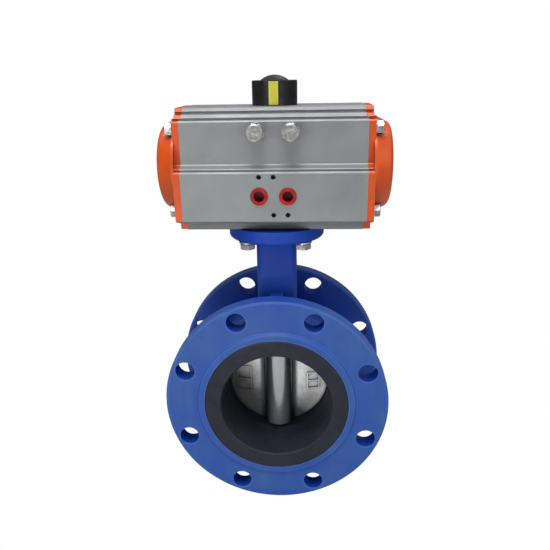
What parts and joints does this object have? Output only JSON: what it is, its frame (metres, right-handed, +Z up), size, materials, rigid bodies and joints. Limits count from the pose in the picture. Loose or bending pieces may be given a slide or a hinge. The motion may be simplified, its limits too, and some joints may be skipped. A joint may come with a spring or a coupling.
{
  "type": "pneumatic actuated butterfly valve",
  "caption": "Double-flanged rubber-lined butterfly valve turned a quarter turn by a rack-and-pinion air cylinder on its neck, with a drum position indicator.",
  "frame": {"origin": "centre of the inlet flange's flat face, on the pipe axis", "axes": "+Y runs along the pipe from the inlet flange to the outlet flange, +Z runs up the stem towards the actuator, +X runs along the actuator cylinder to its right-hand cap"},
  "size_m": [0.206, 0.1152, 0.3919],
  "materials": {
    "blue_casting": "semi-gloss epoxy paint over sand casting",
    "liner_rubber": "matte black EPDM",
    "disc_iron": "grey-white plated ductile iron",
    "stem_steel": "turned stainless steel",
    "pinion_steel": "nickel-plated steel",
    "spring_steel": "dark spring steel",
    "zinc_fastener": "bright zinc plate",
    "anodised_aluminium": "hard-anodised extrusion, satin",
    "orange_cap": "orange polyester powder coat",
    "piston_aluminium": "die-cast, machined",
    "bearing_plastic": "natural acetal",
    "bush_bronze": "PTFE-lined bronze",
    "seal_rubber": "black nitrile",
    "black_plastic": "moulded black plastic",
    "yellow_plastic": "yellow moulded plastic",
    "red_plastic": "soft red polyethylene"
  },
  "bodies": {
    "valve": {"valve_body": "blue_casting", "seat_liner": "liner_rubber", "upper_stem_bush": "bush_bronze", "neck_top_bush": "bearing_plastic", "lower_stem_bush": "bush_bronze", "stem_seals": "seal_rubber", "stem_seal_retainer": "spring_steel", "bottom_plug": "zinc_fastener", "bottom_plug_washer": "seal_rubber", "actuator_housing": "anodised_aluminium", "left_end_cap": "orange_cap", "right_end_cap": "orange_cap", "left_cap_bolts": "zinc_fastener", "right_cap_bolts": "zinc_fastener", "left_cap_washers": "zinc_fastener", "right_cap_washers": "zinc_fastener", "left_cap_seal": "seal_rubber", "right_cap_seal": "seal_rubber", "stop_bolts": "zinc_fastener", "stop_locknuts": "zinc_fastener", "stop_washers": "zinc_fastener", "left_port_plug": "red_plastic", "right_port_plug": "red_plastic", "pad_bolts": "zinc_fastener", "pad_washers": "zinc_fastener", "pad_spring_washers": "spring_steel", "pinion_lower_bearing": "bearing_plastic", "pinion_upper_bearing": "bearing_plastic", "pinion_lower_seal": "seal_rubber", "pinion_upper_seal": "seal_rubber", "pinion_thrust_washer": "bearing_plastic"},
    "rotor": {"disc": "disc_iron", "upper_stem": "stem_steel", "lower_stem": "stem_steel", "drive_pinion": "pinion_steel", "pinion_clip": "spring_steel", "indicator_drum": "black_plastic", "indicator_stripes": "yellow_plastic", "indicator_screw": "black_plastic"},
    "left_rack": {"left_piston": "piston_aluminium", "left_piston_guide": "bearing_plastic", "left_piston_ring": "seal_rubber"},
    "right_rack": {"right_piston": "piston_aluminium", "right_piston_guide": "bearing_plastic", "right_piston_ring": "seal_rubber"}
  },
  "joints": [
    {"name": "disc_turn", "type": "hinge", "parent": "valve", "child": "rotor", "pos_m": [0, 0.055, 0], "axis": [0, 0, 1], "range_deg": [0, 90]},
    {"name": "left_rack_slide", "type": "slide", "parent": "valve", "child": "left_rack", "axis": [-1, 0, 0], "range_m": [0, 0.02515]},
    {"name": "right_rack_slide", "type": "slide", "parent": "valve", "child": "right_rack", "axis": [1, 0, 0], "range_m": [0, 0.02515]}
  ],
  "couplings": [
    {"joint": "left_rack_slide", "follows": "disc_turn", "m_per_rad": 0.016},
    {"joint": "right_rack_slide", "follows": "disc_turn", "m_per_rad": 0.016}
  ]
}
